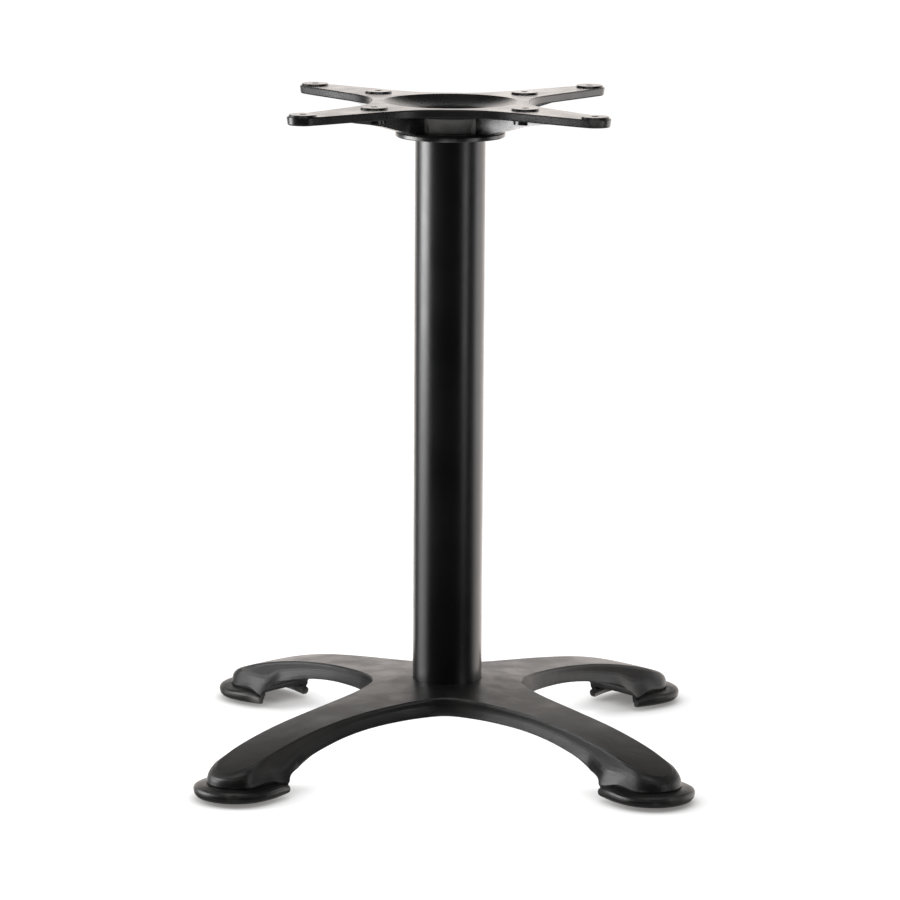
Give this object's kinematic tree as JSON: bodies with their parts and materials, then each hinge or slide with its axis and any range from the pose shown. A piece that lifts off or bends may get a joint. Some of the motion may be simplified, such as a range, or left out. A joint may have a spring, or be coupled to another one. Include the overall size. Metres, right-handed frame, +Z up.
{
  "type": "table base",
  "caption": "Pedestal table base: cast iron foot with legs on the diagonals, round steel column and a cast top spider with screw pads, on levelling glides.",
  "frame": {"origin": "on the floor, on the axis of the column", "axes": "+Z up along the column; the legs and the arms of the spider lie on the diagonals between X and Y; -Y is the side that the picture shows"},
  "size_m": [0.5312, 0.5312, 0.72],
  "materials": {
    "casting_black": "fine textured black powder coat on cast iron",
    "column_black": "satin black powder coat on steel tube",
    "spider_black": "satin black powder coat on cast iron",
    "zinc_steel": "bright zinc plate",
    "glide_plastic": "moulded black plastic"
  },
  "bodies": {
    "pedestal": {"base_casting": "casting_black", "column_tube": "column_black", "top_spider": "spider_black", "tie_rod": "zinc_steel", "top_nut": "zinc_steel", "top_spring_washer": "zinc_steel", "top_washer": "zinc_steel", "bottom_nut": "zinc_steel", "bottom_spring_washer": "zinc_steel", "bottom_washer": "zinc_steel"},
    "glide_front_left": {"glide_pad_front_left": "glide_plastic", "glide_stud_front_left": "zinc_steel"},
    "glide_front_right": {"glide_pad_front_right": "glide_plastic", "glide_stud_front_right": "zinc_steel"},
    "glide_back_left": {"glide_pad_back_left": "glide_plastic", "glide_stud_back_left": "zinc_steel"},
    "glide_back_right": {"glide_pad_back_right": "glide_plastic", "glide_stud_back_right": "zinc_steel"}
  },
  "joints": [
    {"name": "level_front_left", "type": "slide", "parent": "pedestal", "child": "glide_front_left", "axis": [0, 0, -1], "range_m": [0, 0.01]},
    {"name": "level_front_right", "type": "slide", "parent": "pedestal", "child": "glide_front_right", "axis": [0, 0, -1], "range_m": [0, 0.01]},
    {"name": "level_back_left", "type": "slide", "parent": "pedestal", "child": "glide_back_left", "axis": [0, 0, -1], "range_m": [0, 0.01]},
    {"name": "level_back_right", "type": "slide", "parent": "pedestal", "child": "glide_back_right", "axis": [0, 0, -1], "range_m": [0, 0.01]}
  ]
}
